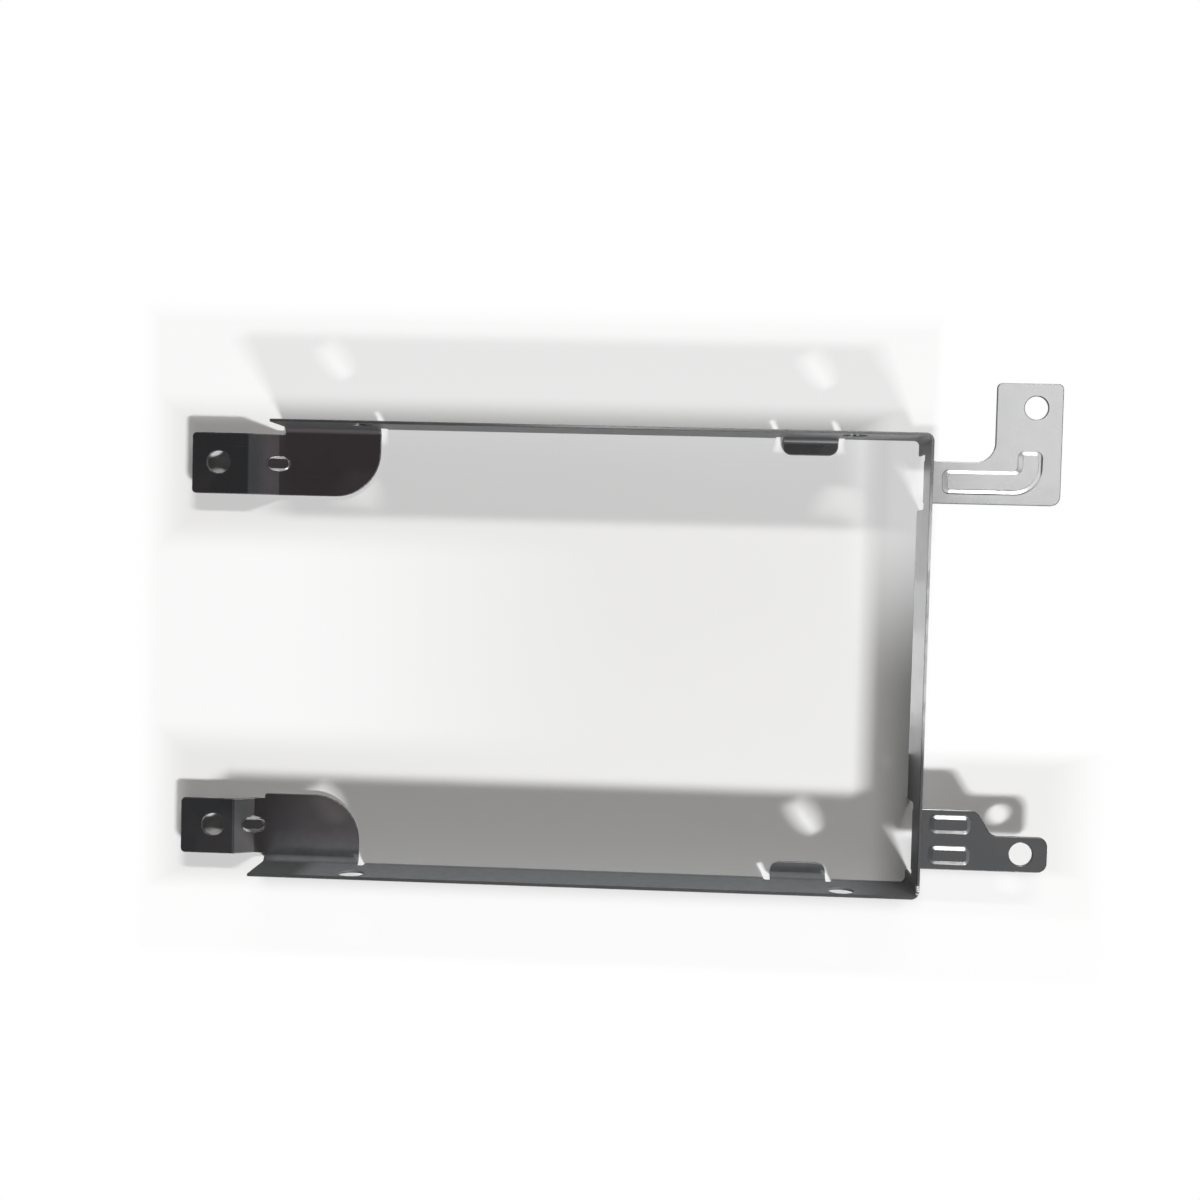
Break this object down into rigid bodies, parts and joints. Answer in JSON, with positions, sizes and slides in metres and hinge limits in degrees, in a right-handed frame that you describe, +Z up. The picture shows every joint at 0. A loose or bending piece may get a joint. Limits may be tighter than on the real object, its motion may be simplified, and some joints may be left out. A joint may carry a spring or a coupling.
{
  "type": "laptop hard drive bracket",
  "caption": "Folded sheet-steel bracket around three sides of a 2.5-inch laptop drive, with tabs under it, screw holes in its sides and embossed screw ears at its ends.",
  "frame": {"origin": "middle of the drive bay, midway between the four side screw holes, on the plane of the tabs' undersides", "axes": "+X along the drive towards the end wall, +Y across the drive towards the L-shaped ear, +Z up, the way the drive lifts out"},
  "size_m": [0.138, 0.0796, 0.0096],
  "materials": {
    "coated_steel": "thin dark grey coat with a soft sheen, rubbed bright at the cut edges"
  },
  "bodies": {
    "root": {"drive_bracket": "coated_steel"}
  },
  "joints": []
}
